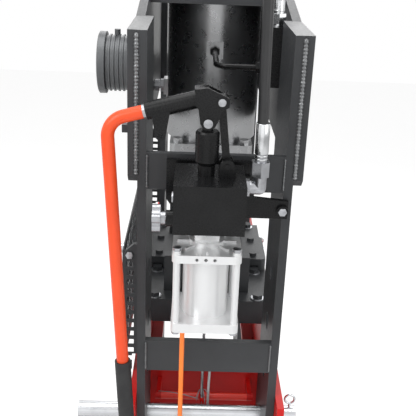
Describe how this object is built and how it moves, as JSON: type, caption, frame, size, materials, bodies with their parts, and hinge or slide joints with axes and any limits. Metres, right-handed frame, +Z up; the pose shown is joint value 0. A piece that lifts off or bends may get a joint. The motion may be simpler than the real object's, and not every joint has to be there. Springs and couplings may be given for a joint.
{
  "type": "shop_press",
  "caption": "Two-post hydraulic shop press with an air and hand pump, red movable bed on pins, pressure gauge and wire guard",
  "frame": {"origin": "centre of the four anchor holes, on the floor", "axes": "+X across the press to the pump side, +Y to the rear, +Z up"},
  "size_m": [1.108, 0.7, 1.7483],
  "materials": {
    "frame_grey": "semi-gloss paint",
    "cylinder_steel": "turned, oiled",
    "rod_chrome": "hard chrome",
    "gauge_grey": "grey case",
    "lens": "clear",
    "needle_black": "matt",
    "fitting_steel": "plated",
    "ferrule_chrome": "crimped",
    "pump_black": "black paint on iron",
    "motor_alu": "bare, cast and drawn",
    "hose_rubber": "smooth black cover",
    "air_orange": "orange air tube",
    "handle_red": "red-orange powder coat",
    "grip_rubber": "ribbed rubber",
    "bed_red": "red paint",
    "table_dark": "worn dark paint",
    "pin_steel": "bright drawn bar",
    "rope_wire": "galvanised strand"
  },
  "bodies": {
    "frame": {"post_rf": "frame_grey", "post_rr": "frame_grey", "post_lf": "frame_grey", "post_lr": "frame_grey", "bar_r1": "frame_grey", "bar_r2": "frame_grey", "bar_r3": "frame_grey", "bar_r4": "frame_grey", "bar_l1": "frame_grey", "bar_l2": "frame_grey", "bar_l3": "frame_grey", "bar_l4": "frame_grey", "foot_r": "frame_grey", "foot_l": "frame_grey", "tie_front": "frame_grey", "tie_rear": "frame_grey", "head_front": "frame_grey", "head_rear": "frame_grey", "head_seat": "frame_grey", "cylinder": "cylinder_steel", "cyl_flange": "cylinder_steel", "gauge_body": "gauge_grey", "gauge_lens": "lens", "gauge_line": "fitting_steel", "pump_bracket": "pump_black", "pump_block": "pump_black", "plunger_housing": "pump_black", "motor_head": "motor_alu", "motor_tube": "motor_alu", "motor_base": "motor_alu", "hose_elbow": "fitting_steel", "hyd_hose": "hose_rubber", "hose_ferrule": "ferrule_chrome", "port_block": "pump_black", "air_hose": "air_orange", "air_coil": "air_orange", "air_plug": "fitting_steel", "lift_rope": "rope_wire", "rope_bar": "frame_grey"},
    "ram": {"ram": "rod_chrome"},
    "plunger": {"plunger": "pump_black"},
    "rocker": {"rocker": "pump_black", "handle": "handle_red", "grip": "grip_rubber"},
    "link": {"link": "pump_black"},
    "release_knob": {"release_knob": "fitting_steel"},
    "gauge_needle": {"gauge_needle": "needle_black"},
    "bed": {"bed_front": "bed_red", "bed_rear": "bed_red", "bed_end_r": "bed_red", "bed_end_l": "bed_red", "table": "table_dark", "press_plate": "table_dark"},
    "vee_r": {"vee_r": "table_dark"},
    "vee_l": {"vee_l": "table_dark"},
    "pin_r": {"pin_r_bar": "pin_steel"},
    "pin_l": {"pin_l_bar": "pin_steel"},
    "guard": {"guard": "frame_grey", "guard_side_r": "frame_grey", "guard_side_l": "frame_grey"}
  },
  "joints": [
    {"name": "ram_slide", "type": "slide", "parent": "frame", "child": "ram", "axis": [0, 0, -1], "range_m": [0, 0.14], "stiffness_N_per_m": 1500, "springref_m": -0.15},
    {"name": "plunger_slide", "type": "slide", "parent": "frame", "child": "plunger", "axis": [0, 0, 1], "range_m": [0, 0.016]},
    {"name": "handle_swing", "type": "hinge", "parent": "plunger", "child": "rocker", "pos_m": [0.516, -0.016, 1.441], "axis": [-1, 0, 0], "range_deg": [0, 35]},
    {"name": "link_tilt", "type": "hinge", "parent": "frame", "child": "link", "pos_m": [0.516, 0.013, 1.38], "axis": [-1, 0, 0], "range_deg": [0, 9]},
    {"name": "release_turn", "type": "hinge", "parent": "frame", "child": "release_knob", "pos_m": [0.519, -0.086, 1.295], "axis": [0, -1, 0], "range_deg": [0, 270]},
    {"name": "needle_turn", "type": "hinge", "parent": "frame", "child": "gauge_needle", "pos_m": [0, -0.223, 1.422], "axis": [0, 1, 0], "range_deg": [0, 270]},
    {"name": "bed_lift", "type": "slide", "parent": "frame", "child": "bed", "axis": [0, 0, 1], "range_m": [0, 0.03], "deforming": ["lift_rope"]},
    {"name": "vee_r_slide", "type": "slide", "parent": "bed", "child": "vee_r", "axis": [1, 0, 0], "range_m": [-0.07, 0.03]},
    {"name": "vee_l_slide", "type": "slide", "parent": "bed", "child": "vee_l", "axis": [-1, 0, 0], "range_m": [-0.07, 0.03]},
    {"name": "pin_r_slide", "type": "slide", "parent": "frame", "child": "pin_r", "axis": [0, 1, 0], "range_m": [0, 0.38]},
    {"name": "pin_l_slide", "type": "slide", "parent": "frame", "child": "pin_l", "axis": [0, 1, 0], "range_m": [0, 0.38]},
    {"name": "guard_swing", "type": "hinge", "parent": "frame", "child": "guard", "pos_m": [0, -0.137, 1.172], "axis": [-1, 0, 0], "range_deg": [0, 90]}
  ],
  "couplings": [
    {"joint": "plunger_slide", "follows": "handle_swing", "m_per_rad": 0.0257},
    {"joint": "link_tilt", "follows": "handle_swing", "ratio": 0.247}
  ]
}
